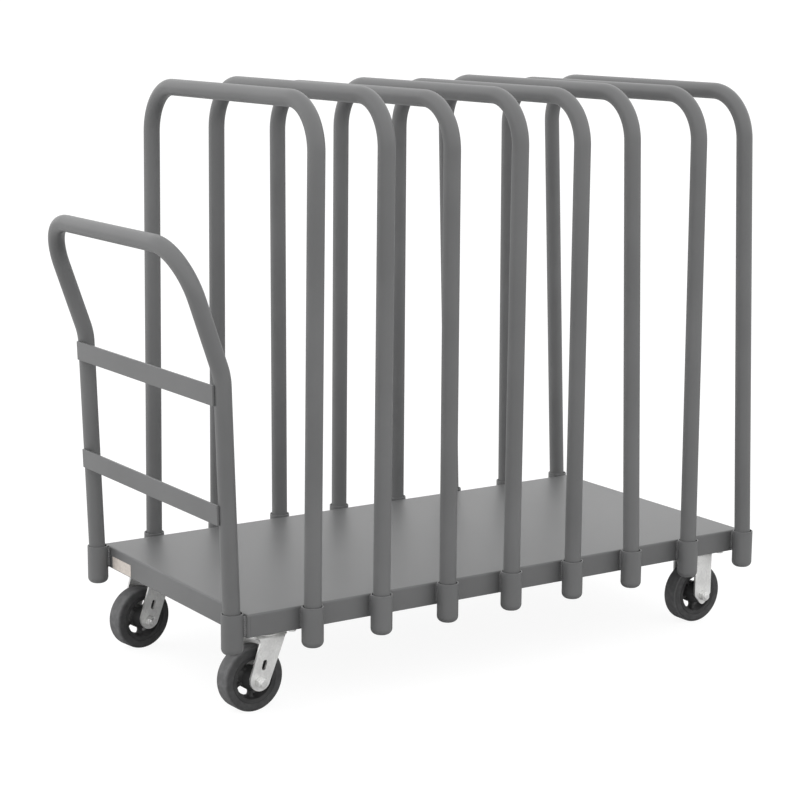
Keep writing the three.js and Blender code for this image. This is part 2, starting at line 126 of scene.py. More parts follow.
# A leg's half width at its top, the radius of its flare into the crown and the shape of its end:
# round, about a point that stands end_rise over the axle, or a blunt point. A slot is given by its
# rise over the axle, half its width and half its length.
SWIVEL_LEG = {
    "top": 26 * MM, "end": 22 * MM, "flare": 8 * MM, "end_rise": 4 * MM,
    "slot": mm(33.5, 4.5, 10), "pin_bore": 7 * MM,
}
RIGID_LEG = {
    "top": 22 * MM, "flare": 5 * MM, "point_depth": 19.5 * MM, "point_rise": 5 * MM,
    "point_radius": 8.5 * MM, "point_angle": math.radians(41),
}

# Rows and cells of a fork's grid, the columns of cells that a hole takes out, and the rows that the
# pin's hole takes out to each side of the crown's middle.
TIP_ROWS, SHANK_ROWS, FOLD_ROWS, CROWN_ROWS = 15, 27, 17, 7
FORK_CELLS = 16
HOLE_COLUMNS = (6, 10)
PIN_REACH = 2


def length(name, description, millimetres):
    """A length setting, given in millimetres and kept in metres."""
    return FloatProperty(
        name=name, description=description, default=millimetres * MM, unit="LENGTH", precision=5
    )


def angle(name, description, degrees):
    """An angle setting, given in degrees and kept in radians."""
    return FloatProperty(
        name=name, description=description, default=math.radians(degrees), subtype="ANGLE"
    )


def colour(name, description, default):
    """A colour setting in linear red, green and blue."""
    return FloatVectorProperty(
        name=name, description=description, default=default, size=3, min=0, max=1, subtype="COLOR"
    )


def point(name, description, default):
    """A place in the scene."""
    return FloatVectorProperty(
        name=name, description=description, default=default, subtype="TRANSLATION"
    )


def number(name, description, default, measure="NONE"):
    """A plain number, with a measure where one fits."""
    return FloatProperty(name=name, description=description, default=default, unit=measure)


class CartSizes(bpy.types.PropertyGroup):
    """Sizes of the surfaces that the frame's boxes don't give."""

    pipe_wall: length("Pipe wall", "Wall of the loops and the handle", 2.8)
    socket_bore: length("Socket bore", "Inside radius of a socket", 18.6)
    socket_depth: length("Socket depth", "From a socket's rim to its floor", 69)
    socket_corner: length("Socket foot", "Radius round a socket's foot", 12)
    deck_sheet: length("Deck sheet", "Thickness of the folded deck", 2.7)
    deck_fold: length("Deck fold", "Outside radius of the deck's folds", 4)
    deck_corner: length("Deck corner", "Radius of the deck's upright corners", 2.5)
    loop_height: length("Loop height", "From the deck to the middle of a loop's top run", 940)
    loop_bend: length("Loop bend", "Radius of a loop's bends", 94)
    knee_height: length("Knee height", "From the deck to where the handle bends back", 450)
    knee_bend: length("Knee bend", "Radius of that bend", 120)
    knee_angle: angle("Knee angle", "How far the handle bends back", 17.2)
    grip_reach: length("Grip reach", "From the knee to the grip", 250)
    grip_corner: length("Grip corner", "Radius of the bends beside the grip", 100)
    bar_height: length("Bar height", "Height of a flat bar across the handle", 38.1)
    bar_sheet: length("Bar sheet", "Thickness of a flat bar", 4.8)
    bead_radius: length("Weld bead", "Radius of a weld bead", 4.6)
    bead_pitch: length("Weld ripple", "Length of one ripple of a weld bead", 3.6)
    fork_sheet: length("Fork sheet", "Thickness of a caster's fork", 4.8)
    fork_bend: length("Fork bend", "Radius where a leg folds into the crown", 6)
    plate_sheet: length("Plate sheet", "Thickness of a caster's plate", 6.35)
    plate_length: length("Plate length", "Length of a caster's plate", 114.3)
    plate_width: length("Plate width", "Width of a caster's plate", 101.6)
    plate_corner: length("Plate corner", "Radius of a plate's corners", 10)
    race_radius: length("Race radius", "Outside radius of a raceway", 36)
    race_bore: length("Race bore", "Inside radius of a raceway", 14)
    race_depth: length("Race depth", "Depth of the raceway under a plate", 6.5)
    pin_radius: length("Pin radius", "Radius of a kingpin and of an axle bolt", 6.35)
    axle_bore: length("Axle bore", "Radius of the holes for an axle bolt", 6.65)
    spacer_wall: length("Spacer wall", "Wall of the tube between a fork's legs", 3.2)
    nut_flats: length("Nut", "From the middle of an axle nut to a flat", 9.5)
    nut_depth: length("Nut depth", "Depth of an axle nut", 11)
    head_depth: length("Head depth", "Depth of an axle bolt's head", 8)
    tyre_depth: length("Tyre depth", "Depth of a tyre", 16.5)
    rim_depth: length("Rim depth", "Depth of a wheel centre's rim", 12.5)
    boss_radius: length("Boss radius", "Radius of a wheel centre's boss", 23)
    boss_length: length("Boss length", "Length of a wheel centre's boss", 62)
    spokes: IntProperty(name="Spokes", description="Spokes of a wheel centre", default=5, min=3)


class CartFinish(bpy.types.PropertyGroup):
    """Colours of the finishes."""

    paint: colour("Paint", "Grey powder coat", (0.116, 0.117, 0.118))
    zinc: colour("Zinc", "Plated steel", (0.8, 0.8, 0.79))
    iron: colour("Iron", "Dark wheel centres", (0.033, 0.033, 0.0335))
    tread: colour("Tread", "Rubber where a wheel rolls", (0.105, 0.105, 0.107))
    wall: colour("Tyre wall", "Rubber at a tyre's sides", (0.051, 0.051, 0.052))
    plate: colour("Bare plate", "Cream plate on the end of the deck", (0.532, 0.485, 0.443))


class CartStage(bpy.types.PropertyGroup):
    """Camera and studio light."""

    camera_place: point("Camera", "Where the camera stands", (-2.38549, -3.5978, 1.34715))
    camera_turn: angle("Camera turn", "From +Y towards +X", 33.45)
    camera_dip: angle("Camera dip", "Below level", 10.98)
    camera_roll: angle("Camera roll", "About the line of sight", 0.44)
    camera_lens: number("Lens", "Focal length in millimetres", 95.2, "CAMERA")
    camera_sensor: number("Sensor", "Width of the sensor in millimetres", 36, "CAMERA")
    sky: number("Sky", "Strength of the even light", 1.42)
    paper: number("Paper", "Glow of the floor that the camera sees", 0.9)
    ground: number("Ground", "Grey of the floor that lights the cart", 0.52)
    end_light: number("End light", "Power of the panel at the handle", 46, "POWER")
    end_place: point("End panel", "Where that panel stands", (-3.2, 2.7, 0.6))
    end_aim: point("End aim", "The point that it faces", (-0.3, 0, 0.4))
    end_width: length("End width", "Its width", 2400)
    end_height: length("End height", "Its height", 1200)


# Surfaces


def grid_faces(rows, columns, close_rows, close_columns):
    """Quads of a grid of vertices numbered row by row, joined round where it closes on itself."""
    row = np.arange(rows if close_rows else rows - 1)
    column = np.arange(columns if close_columns else columns - 1)
    r0, c0 = np.meshgrid(row, column, indexing="ij")
    r1, c1 = (r0 + 1) % rows, (c0 + 1) % columns
    corners = [r0 * columns + c0, r0 * columns + c1, r1 * columns + c1, r1 * columns + c0]
    return np.stack(corners, axis=-1).reshape(-1, 4)


class Patch:
    """A grid of points as a piece of surface.

    Its rows and columns may close on themselves, and its end rows may be capped. Cells that
    aren't kept go, with the points that only they use. Each point may carry a value."""

    def __init__(
        self, points, close_rows=False, close_columns=False, cap=False, keep=None, value=0.0
    ):
        rows, columns = points.shape[:2]
        row = np.arange(columns)
        self.points = points.reshape(-1, 3)
        self.value = np.broadcast_to(value, (rows, columns)).ravel()
        self.quads = grid_faces(rows, columns, close_rows, close_columns)
        self.caps = [row[::-1], row + (rows - 1) * columns] if cap else []
        if keep is not None:
            used, quads = np.unique(self.quads[keep.ravel()], return_inverse=True)
            self.points, self.value = self.points[used], self.value[used]
            self.quads = quads.reshape(-1, 4)


def mesh_from(name, patches, attribute=None):
    """One mesh from patches: like points merged, faces turned outward, sharp edges kept."""
    starts = np.cumsum([0] + [len(patch.points) for patch in patches])
    faces = []
    for patch, start in zip(patches, starts):
        faces += (patch.quads + start).tolist()
        faces += [(cap + start).tolist() for cap in patch.caps]
    mesh = bpy.data.meshes.new(name)
    mesh.from_pydata(np.concatenate([patch.points for patch in patches]).tolist(), [], faces)
    if attribute:
        layer = mesh.attributes.new(attribute, "FLOAT", "POINT")
        values = np.concatenate([patch.value for patch in patches])
        layer.data.foreach_set("value", values.astype(np.float32))
    work = bmesh.new()
    work.from_mesh(mesh)
    bmesh.ops.remove_doubles(work, verts=work.verts[:], dist=MERGE_DISTANCE)
    bmesh.ops.recalc_face_normals(work, faces=work.faces[:])
    work.to_mesh(mesh)
    work.free()
    mesh.shade_smooth()
    mesh.set_sharp_from_angle(angle=SHARP_ANGLE)
    return mesh


def piece(name, patches, slot, body=None, replaces=None, attribute=None, finish=None):
    """A finished object at the origin that rides on a body and may stand for a CAD node."""
    made = bpy.data.objects.new(name, mesh_from(name, patches, attribute))
    bpy.context.scene.collection.objects.link(made)
    made.data.materials.append((finish or FINISHES[slot])())
    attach(made, body or frame["nodes"][replaces]["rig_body"])
    if replaces:
        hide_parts(replaces)
    return made


def turns(count):
    """Cosine and sine of an even round of angles."""
    around = np.linspace(0, 2 * np.pi, count, endpoint=False)
    return np.cos(around), np.sin(around)


def corner_arcs(corner, before, after, radius, steps):
    """Arcs that join straight runs: points and headings at each corner, from one run to the next.

    An arc starts radius × tan(half the turn) before its corner and swings through the turn, in the
    plane of both runs."""
    along = np.clip((before * after).sum(axis=1, keepdims=True), -1, 1)
    turn = np.arccos(along)
    ahead, inward = before[:, None], unit(after - before * along)[:, None]
    start = corner - before * radius[:, None] * np.tan(turn / 2)
    swing = (turn * np.linspace(0, 1, steps + 1))[..., None]
    arc = ahead * np.sin(swing) + inward * (1 - np.cos(swing))
    heading = ahead * np.cos(swing) + inward * np.sin(swing)
    return start[:, None] + radius[:, None, None] * arc, heading


def rounded(corners, radii, steps=5, support=0.4 * MM):
    """A closed outline whose corners are arcs, each flanked by a point on both sides it touches."""
    corner = np.asarray(corners, float)
    radius = np.broadcast_to(np.asarray(radii, float), len(corner))
    before = unit(corner - np.roll(corner, 1, axis=0))
    after = np.roll(before, -1, axis=0)
    arcs, _ = corner_arcs(corner, before, after, radius, steps)
    lead = arcs[:, :1] - support * before[:, None]
    trail = arcs[:, -1:] + support * after[:, None]
    return np.concatenate([lead, arcs, trail], axis=1).reshape(-1, 2)


def lathe(profile, centre, axis=AXIS_Z, sides=64, closed=True, value=0.0):
    """A surface of revolution: profile points (radius, height) go round an axis through centre."""
    profile = np.asarray(profile, float)
    first = AXIS_X if abs(axis[0]) < 0.5 else AXIS_Y
    second = np.cross(axis, first)
    cos, sin = turns(sides)
    ring = cos[:, None] * first + sin[:, None] * second
    points = np.asarray(centre) + profile[:, :1, None] * ring + profile[:, 1:, None] * axis
    return Patch(points, close_rows=closed, close_columns=True, value=value)


def bent_path(corners, radii, steps=20):
    """Centre line and headings of a bent pipe: straight runs and the arcs that join them."""
    corner = np.asarray(corners, float)
    radius = np.concatenate([[0], radii, [0]])
    run = unit(np.diff(corner, axis=0))
    before, after = np.vstack([run[:1], run]), np.vstack([run, run[-1:]])
    arcs = corner_arcs(corner, before, after, radius, steps)
    path, heading = (part.reshape(-1, 3) for part in arcs)
    moved = np.append(True, np.linalg.norm(np.diff(path, axis=0), axis=1) > 1e-7)
    return path[moved], heading[moved]


def pipe(corners, radii, wall, across, sides=48, chamfer=0.6 * MM):
    """A hollow pipe: a circle square to the path goes out along it and a smaller one comes back.

    The circle's first axis is `across` made square to the path, its second their cross product."""
    path, heading = bent_path(corners, radii)
    inset = chamfer * heading[[0, -1]]
    ends = path[:1], path[-1:]
    path = np.concatenate([ends[0], ends[0] + inset[:1], path[1:-1], ends[1] - inset[1:], ends[1]])
    heading = np.concatenate([heading[:1], heading, heading[-1:]])
    outer = np.full(len(path), PIPE_RADIUS)
    outer[[0, -1]] -= chamfer
    first = unit(across - (heading @ across)[:, None] * heading)
    second = np.cross(heading, first)
    cos, sin = turns(sides)
    ring = cos[:, None] * first[:, None] + sin[:, None] * second[:, None]
    out = path[:, None] + outer[:, None, None] * ring
    back = path[::-1, None] + (PIPE_RADIUS - wall) * ring[::-1]
    return Patch(np.concatenate([out, back]), close_rows=True, close_columns=True)


def bead(start, end, radius, pitch, sides=12):
    """A weld bead: a circle along a line swells with each ripple and closes at the ends.

    With s from 0 to 1 along it and a the angle round it, the circle's radius is
    r × (1 − |2s − 1|^6)^½ × (1 + 0.1 × cos(2π × ripples × s + cos a))."""
    run = end - start
    reach = np.linalg.norm(run)
    ripples, steps_per_ripple, fewest_steps = reach / pitch, 6, 16
    share = np.linspace(0, 1, max(fewest_steps, int(ripples * steps_per_ripple)))
    heading = run / reach
    first = unit(np.cross(heading, AXIS_X if abs(heading[0]) < 0.8 else AXIS_Z))
    second = np.cross(heading, first)
    cos, sin = turns(sides)
    taper = np.sqrt(np.clip(1 - np.abs(2 * share - 1) ** 6, 0, 1))[:, None]
    swell = 1 + 0.1 * np.cos(2 * np.pi * ripples * share[:, None] + cos)
    ring = cos[:, None] * first + sin[:, None] * second
    points = start + share[:, None, None] * run + (radius * taper * swell)[..., None] * ring
    return Patch(points, close_columns=True)


def corner_rings(half_x, half_y, radius, steps=5):
    """Rounded rectangles, one a row: quarter circles whose middles stand in from the corners."""
    half_x, half_y, radius = (np.asarray(v, float)[:, None, None] for v in (half_x, half_y, radius))
    quarter = np.arange(4)[:, None] * np.pi / 2 + np.linspace(0, np.pi / 2, steps + 1)
    sign_x = np.array([1, -1, -1, 1])[:, None]
    sign_y = np.array([1, 1, -1, -1])[:, None]
    x = sign_x * (half_x - radius) + radius * np.cos(quarter)
    y = sign_y * (half_y - radius) + radius * np.sin(quarter)
    return np.stack([x, y], axis=-1).reshape(len(half_x), -1, 2)


def at_heights(rings, height):
    """Flat rings, one a row, each lifted to its height."""
    tall = np.broadcast_to(height[:, None, None], (*rings.shape[:2], 1))
    return np.concatenate([rings, tall], axis=-1)


def slab(centre, axes, half, corner, edge, steps=4, least=0.05 * MM):
    """A flat bar or plate with soft edges: rounded rectangles stacked through it.

    At each face they draw in by edge × (1 − sin) while they rise by edge × (1 − cos)."""
    swing = np.linspace(0, np.pi / 2, steps + 1)
    draw_in = np.concatenate([[2 * edge], edge * (1 - np.sin(swing))])
    inset = np.concatenate([draw_in, draw_in[::-1]])
    rise = half[2] - np.concatenate([[0], edge * (1 - np.cos(swing))])
    height = np.concatenate([-rise, rise[::-1]])
    rings = corner_rings(half[0] - inset, half[1] - inset, np.maximum(corner - inset, least))
    return Patch(centre + at_heights(rings, height) @ axes, close_columns=True, cap=True)


def hexagon(centre, axis, flats, low, high, bore, sides=72):
    """A nut or bolt head between two heights.

    Its radius is the hexagon's or, near the outer face, a 30° cone's where that is less."""
    around = np.linspace(0, 2 * np.pi, sides, endpoint=False)
    six = flats / np.cos((around + np.pi / 6) % (np.pi / 3) - np.pi / 6)
    face_share, cone_slope = 0.95, math.tan(math.radians(60))
    depth = np.array(mm(1.6, 1.1, 0.7, 0.3, 0))[:, None]
    cone = face_share * flats + depth * cone_slope
    face = np.minimum(six, np.vstack([[[np.inf]], cone]))
    inner = np.full((1, sides), bore)
    radius = np.concatenate([inner, face, inner])
    height = np.concatenate([[low, low], high - np.sign(high - low) * depth[:, 0], [high]])
    ring = np.cos(around)[:, None] * AXIS_X + np.sin(around)[:, None] * np.cross(axis, AXIS_X)
    points = centre + radius[..., None] * ring + height[:, None, None] * axis
    return Patch(points, close_rows=True, close_columns=True)


def cut_hole(points, keep, rows, centre, across, along, half_width, half_length):
    """Opens a hole with round ends in a flat part of a fork's grid.

    Steps from the middle of a block of cells give each vertex a square radius. The block's rim, at
    radius 1, moves to the hole's outline, and the shift fades out at radius 2. The block goes."""
    columns = HOLE_COLUMNS
    i = np.arange(points.shape[0])[:, None]
    j = np.arange(points.shape[1])
    b = (2 * i - sum(rows)) / (rows[1] - rows[0]) + 0 * j
    a = (2 * j - sum(columns)) / (columns[1] - columns[0]) + 0 * i
    square = np.maximum(np.abs(a), np.abs(b))
    far = np.maximum(np.hypot(a, b), 1e-9)
    sideways = half_width * a / far
    lengthways = half_width * b / far + (half_length - half_width) * np.sign(b)
    outline = centre + sideways[..., None] * across + lengthways[..., None] * along
    fade = np.clip(2 - square, 0, 1)[..., None]
    points[:] = points * (1 - fade) + outline * fade
    keep[rows[0]:rows[1], columns[0]:columns[1]] = False


# Finishes


class Wire:
    """A socket of a finish. Operators on it add Math nodes, so that maths reads as written."""

    def __init__(self, finish, socket):
        self.finish = finish
        self.socket = socket

    def maths(self, operation, *values):
        """A Math node on numbers and wires."""
        return self.finish.node("ShaderNodeMath", {"operation": operation}, dict(enumerate(values)))

    def __add__(self, other):
        return self.maths("ADD", self, other)

    def __mul__(self, other):
        return self.maths("MULTIPLY", self, other)

    __radd__ = __add__
    __rmul__ = __mul__


class Finish:
    """The nodes of a material, on Object coordinates, or of the sky."""

    def __init__(self, holder):
        holder.use_nodes = True
        self.holder = holder
        self.tree = holder.node_tree
        self.tree.nodes.clear()

    def node(self, kind, settings=None, sockets=None, output=0):
        """Adds a node: its settings, then the value or link of each socket. Gives an output."""
        made = self.tree.nodes.new(kind)
        for key, value in (settings or {}).items():
            setattr(made, key, value)
        for key, value in (sockets or {}).items():
            if isinstance(value, Wire):
                self.tree.links.new(value.socket, made.inputs[key])
            else:
                made.inputs[key].default_value = value
        return Wire(self, made.outputs[output])

    def place(self):
        """Object coordinates."""
        return self.node("ShaderNodeTexCoord", output="Object")

    def noise(self, scale, detail, stretch=(1, 1, 1)):
        """Noise from 0 to 1 in cells of about 1/scale metres, longer where stretch is under 1."""
        place = self.node("ShaderNodeMapping", None, {"Vector": self.place(), "Scale": stretch})
        sockets = {"Vector": place, "Scale": scale, "Detail": detail}
        return self.node("ShaderNodeTexNoise", None, sockets)

    def attribute(self, name):
        """A value that the surface carries."""
        return self.node("ShaderNodeAttribute", {"attribute_name": name}, output="Fac")

    def step(self, value, low, high):
        """A soft step from 0 at low to 1 at high."""
        sockets = {"Value": value, "From Min": low, "From Max": high}
        return self.node("ShaderNodeMapRange", {"interpolation_type": "SMOOTHSTEP"}, sockets)

    def mix(self, share, first, second):
        """One colour turning into another."""
        pair = [(*c, 1) if isinstance(c, tuple) else c for c in (first, second)]
        sockets = {0: share, 6: pair[0], 7: pair[1]}
        return self.node("ShaderNodeMix", {"data_type": "RGBA"}, sockets, output=2)

    def bump(self, height, distance, strength):
        """A normal bent by a height."""
        sockets = {"Height": height, "Distance": distance, "Strength": strength}
        return self.node("ShaderNodeBump", None, sockets)

    def surface(self, **sockets):
        """The shader and the material's output."""
        named = {key.replace("_", " "): value for key, value in sockets.items()}
        shader = self.node("ShaderNodeBsdfPrincipled", None, named)
        return self.close("ShaderNodeOutputMaterial", shader)

    def close(self, output, shader):
        """The output that the shader goes to. Gives the finished material or sky."""
        self.tree.links.new(shader.socket, self.tree.nodes.new(output).inputs["Surface"])
        return self.holder


def shade(base, factor):
    """A colour made lighter or darker."""
    return tuple(min(1.0, channel * factor) for channel in base)


def grey(value):
    """A grey as a shader's colour."""
    return value, value, value, 1


def once(make):
    """A finish that is made when it is first asked for, and after that found by its name."""
    name = f"cart_{make.__name__}"

    def found():
        known = bpy.data.materials.get(name)
        look = bpy.context.scene.cart_finish
        return known or make(Finish(bpy.data.materials.new(name)), look)

    return found


@once
def paint(f, look):
    """Grey powder coat: cloudy tone, fine speckle, orange-peel bump and painted shade along
    creases.
    """
    base = look.paint
    cloud = f.noise(5, 3)
    speckle = f.noise(1400, 1)
    peel = f.noise(520, 2)
    tone = f.step(cloud * 0.7 + speckle * 0.3, 0.3, 0.7)
    body = f.mix(tone, shade(base, 0.9), shade(base, 1.1))
    return f.surface(
        # Painted shade: where a surface's crease value is one, the paint darkens to a quarter of
        # its grey.
        Base_Color=f.mix(f.attribute("crease"), body, shade(base, 0.25)),
        Roughness=0.34 + 0.12 * cloud + 0.06 * speckle,
        Normal=f.bump(peel, 0.2 * MM, 0.35),
    )


@once
def zinc(f, look):
    """Plated steel: faint spangle, rolled streaks and a satin sheen."""
    base = look.zinc
    cells = {"Vector": f.place(), "Scale": 260}
    spangle = f.node("ShaderNodeTexVoronoi", None, cells, output="Color")
    fleck = f.node("ShaderNodeRGBToBW", None, {0: spangle})
    grain = f.noise(900, 3, (1, 1, 0.15))
    stain = f.noise(38, 4)
    tone = f.step(0.55 * stain + 0.3 * grain + 0.15 * fleck, 0.3, 0.7)
    return f.surface(
        Base_Color=f.mix(tone, shade(base, 0.86), shade(base, 1.08)),
        Metallic=1.0,
        Roughness=0.34 + 0.16 * stain + 0.08 * grain,
        Normal=f.bump(grain, 0.1 * MM, 0.25),
    )


@once
def iron(f, look):
    """Dark painted casting: sandy bump and a dull sheen."""
    sand = f.noise(750, 4)
    tone = f.step(f.noise(30, 3), 0.3, 0.7)
    return f.surface(
        Base_Color=f.mix(tone, shade(look.iron, 0.8), shade(look.iron, 1.3)),
        Roughness=0.52 + 0.16 * sand,
        Specular_IOR_Level=0.35,
        Normal=f.bump(sand, 0.4 * MM, 0.5),
    )


@once
def rubber(f, look):
    """Moulded rubber: a scuffed, paler tread, darker walls and a fine grain."""
    grain = f.noise(1100, 3)
    scuff = f.noise(90, 4)
    worn = f.mix(f.step(scuff, 0.35, 0.7), shade(look.tread, 0.88), shade(look.tread, 1.14))
    wall = f.mix(f.step(scuff, 0.3, 0.75), shade(look.wall, 0.85), shade(look.wall, 1.2))
    return f.surface(
        Base_Color=f.mix(f.attribute("tread"), wall, worn),
        Roughness=0.62 + 0.2 * grain,
        Specular_IOR_Level=0.35,
        Normal=f.bump(grain, 0.2 * MM, 0.4),
    )


@once
def plate(f, look):
    """Cream lacquered plate: slight mottle and soft sheen."""
    mottle = f.noise(160, 4)
    tone = f.step(mottle, 0.3, 0.75)
    return f.surface(
        Base_Color=f.mix(tone, shade(look.plate, 0.88), shade(look.plate, 1.08)),
        Roughness=0.42 + 0.2 * mottle,
        Normal=f.bump(f.noise(900, 2), 0.1 * MM, 0.2),
    )


FINISHES = {"paint": paint, "zinc": zinc, "iron": iron, "rubber": rubber}


# Deck and sockets


def make_deck(sizes):
    """The deck: rounded rectangles follow its folded section.

    They go up the inside, round the hem at the skirt's foot and over the outside."""
    half = (DECK_HIGH - DECK_LOW)[:2] / 2
    bottom, top = DECK_LOW[2], DECK_HIGH[2]
    sheet, fold = sizes.deck_sheet, sizes.deck_fold
    inner_fold = fold - sheet
    hem, margin, least = mm(0.7, 4, 0.03)
    swing = np.linspace(0, np.pi / 2, 9)
    lip = np.linspace(0, np.pi / 2, 4)
    inset = np.concatenate([
        [fold + margin],
        fold - inner_fold * np.sin(swing),
        [sheet],
        sheet - hem + hem * np.cos(lip),
        hem - hem * np.sin(lip),
        [0],
        fold - fold * np.cos(swing),
        [fold + margin],
    ])
    height = np.concatenate([
        [top - sheet],
        top - sheet - inner_fold + inner_fold * np.cos(swing),
        [bottom + 2 * hem],
        bottom + hem - hem * np.sin(lip),
        bottom + hem - hem * np.cos(lip),
        [bottom + 2 * hem],
        top - fold + fold * np.sin(swing),
        [top],
    ])
    corner = np.maximum(sizes.deck_corner - inset, least)
    rings = corner_rings(half[0] - inset, half[1] - inset, corner)
    points = at_heights(rings + (DECK_LOW + DECK_HIGH)[:2] / 2, height)
    pan = [Patch(points, close_columns=True, cap=True)]
    piece("deck_pan", pan, "paint", replaces="deck", attribute="crease")


def make_corner_seams(sizes):
    """Weld seams up the deck's corners at the handle: a low strip with painted shade down each
    side.

    It stands out by crown × (1 − u²)^½ over its width, u from −1 to 1, with a slight wobble."""
    half_width, crown, sink, inset, clear = mm(3, 0.35, 0.8, 4.6, 1)
    wobble, ripple, sharpness = 0.12, 1.9 / MM, 6
    columns, rows = 15, 24
    u = np.sin(np.linspace(-np.pi / 2, np.pi / 2, columns))
    rise = np.linspace(DECK_LOW[2] + clear, DECK_HIGH[2] - sizes.deck_fold, rows)[:, None]
    x = DECK_LOW[0] + inset + half_width * u + 0 * rise
    stand = crown * np.sqrt(np.clip(1 - u ** 2, 0, 1)) * (1 + wobble * np.sin(rise * ripple))
    # Painted shade: the strip's front darkens towards both edges, and its back, sunk in the skirt,
    # is dark all over.
    crease = np.concatenate([np.abs(u) ** sharpness, np.ones_like(u)])
    for side, face, out in (("near", DECK_LOW[1], -1), ("far", DECK_HIGH[1], 1)):
        front = np.stack([x, face + out * stand, rise + 0 * x], axis=-1)
        back = front[:, ::-1].copy()
        back[..., 1] = face - out * sink
        points = np.concatenate([front, back], axis=1)
        strip = [Patch(points, close_columns=True, cap=True, value=crease)]
        piece(f"deck_corner_seam_{side}", strip, "paint", "frame", attribute="crease")


def make_bare_plate():
    """A thin cream plate on the skirt below the handle, with nothing on it."""
    across, drop, sink, corner, edge = mm(219, 30.3, 0.35, 1.5, 0.2)
    half = mm(42, 12.4, 0.4)
    centre = np.array([DECK_LOW[0] - sink, across, DECK_HIGH[2] - drop])
    axes = np.stack([AXIS_Y, AXIS_Z, AXIS_X])
    sheet = [slab(centre, axes, half, corner, edge)]
    piece("deck_bare_plate", sheet, "paint", "frame", finish=plate)


def make_bolsters():
    """The channels under the deck keep their CAD shape and take the cart's paint."""
    for node in ("bolster_handle_end", "bolster_far_end"):
        for slot in frame["nodes"][node].material_slots:
            slot.material = paint()


def socket_nodes():
    """Every socket's node, with the direction from its axis to the skirt that holds it."""
    inward = {"near": AXIS_Y, "far": -AXIS_Y}
    found = [(f"socket_{side}_{i}", inward[side]) for side in SIDES for i in LOOPS]
    return found + [(f"socket_handle_{side}", AXIS_X) for side in SIDES]


def make_sockets(sizes):
    """Cups that hold the pipes: a profile with round foot, soft rim and bore, turned about Z."""
    seat = SOCKET_RIM - sizes.socket_depth
    bore = sizes.socket_bore
    outer_rim, inner_rim, floor_corner = mm(0.9, 0.7, 1.2)
    corners = [
        (0, SOCKET_FOOT), (SOCKET_RADIUS, SOCKET_FOOT), (SOCKET_RADIUS, SOCKET_RIM),
        (bore, SOCKET_RIM), (bore, seat), (0, seat),
    ]
    radii = [0, sizes.socket_corner, outer_rim, inner_rim, floor_corner, 0]
    outline = rounded(corners, radii, steps=8, support=0.2 * MM)
    outline = outline[outline[:, 0] >= -1e-9]
    for node, _ in socket_nodes():
        cup = lathe(outline, middle(node) * GROUND_PLAN, closed=False)
        piece(f"{node}_cup", [cup], "paint", replaces=node)


def make_socket_welds(sizes):
    """Two upright weld beads in the creases between each socket and the skirt."""
    clear, sink, half_gap = mm(1.5, 2.2, 12)
    low, high = (DECK_LOW[2] + clear) * AXIS_Z, (DECK_HIGH[2] - clear) * AXIS_Z
    beads = []
    for node, inward in socket_nodes():
        centre = middle(node) * GROUND_PLAN + inward * (SOCKET_RADIUS - sink)
        sideways = np.cross(inward, AXIS_Z) * half_gap
        for foot in (centre + sideways, centre - sideways):
            beads.append(bead(foot + low, foot + high, sizes.bead_radius, sizes.bead_pitch))
    piece("socket_welds", beads, "paint", "frame")


# Loops and handle


def standing_line(node, joint, sizes):
    """Where a leaning pipe stands: the middle of its socket's depth, and its lift's direction."""
    pivot = middle(node) * GROUND_PLAN + (SOCKET_RIM - sizes.socket_depth / 2) * AXIS_Z
    return pivot, np.array(JOINTS[joint]["axis"], float)


def leg_end(lean, sizes):
    """How far below that middle a leg ends, just clear of the socket's floor."""
    return -sizes.socket_depth / 2 + FIT_GAP + PIPE_RADIUS * abs(lean[0])


def make_loops(sizes):
    """Each loop: one pipe up from a socket, over in two bends and down into the socket opposite.

    The loops are bent by hand, so each top run stands a little above or below the set height."""
    for i, rise in zip(LOOPS, LOOP_RISES):
        near, lean = standing_line(f"socket_near_{i}", f"loop_{i}_lift", sizes)
        far, _ = standing_line(f"socket_far_{i}", f"loop_{i}_lift", sizes)
        low = leg_end(lean, sizes) * lean
        high = (DECK_HIGH[2] + sizes.loop_height + rise - near[2]) * lean
        corners = [near + low, near + high, far + high, far + low]
        route = pipe(corners, [sizes.loop_bend] * 2, sizes.pipe_wall, np.cross(AXIS_Y, lean))
        piece(f"loop_{i}_pipe", [route], "paint", replaces=f"loop_{i}")


def make_handle(sizes):
    """The push handle: legs bent back at the knee and joined by the grip, and flat bars across."""
    near, lean = standing_line("socket_handle_near", "handle_lift", sizes)
    far, _ = standing_line("socket_handle_far", "handle_lift", sizes)
    across = np.cross(AXIS_Y, lean)
    low = leg_end(lean, sizes) * lean
    knee = (DECK_HIGH[2] + sizes.knee_height - near[2]) * lean
    tilt = math.cos(sizes.knee_angle) * lean - math.sin(sizes.knee_angle) * across
    grip = knee + sizes.grip_reach * tilt
    corners = [near + low, near + knee, near + grip, far + grip, far + knee, far + low]
    radii = [sizes.knee_bend, sizes.grip_corner, sizes.grip_corner, sizes.knee_bend]
    route = pipe(corners, radii, sizes.pipe_wall, across)
    piece("handle_pipe", [route], "paint", replaces="handle_tube")

    half = (sizes.bar_height / 2, (far - near)[1] / 2, sizes.bar_sheet / 2)
    axes = np.stack([lean, AXIS_Y, across])
    corner, edge = mm(1, 0.7)
    bead_radius, bead_inset, bead_stand, bead_clear = mm(3, 7, 1.2, 1.5)
    beads = []
    for name in ("upper", "lower"):
        node = f"handle_bar_{name}"
        flat = slab(middle(node), axes, half, corner, edge)
        piece(f"{node}_flat", [flat], "paint", replaces=node)
        back = middle(node) + (half[2] + bead_stand) * across
        sideways = (half[1] - bead_inset) * AXIS_Y
        up = (half[0] - bead_clear) * lean
        for line in (back - sideways, back + sideways):
            beads.append(bead(line - up, line + up, bead_radius, sizes.bead_pitch))
    piece("handle_welds", beads, "paint", "handle_body")


# Casters


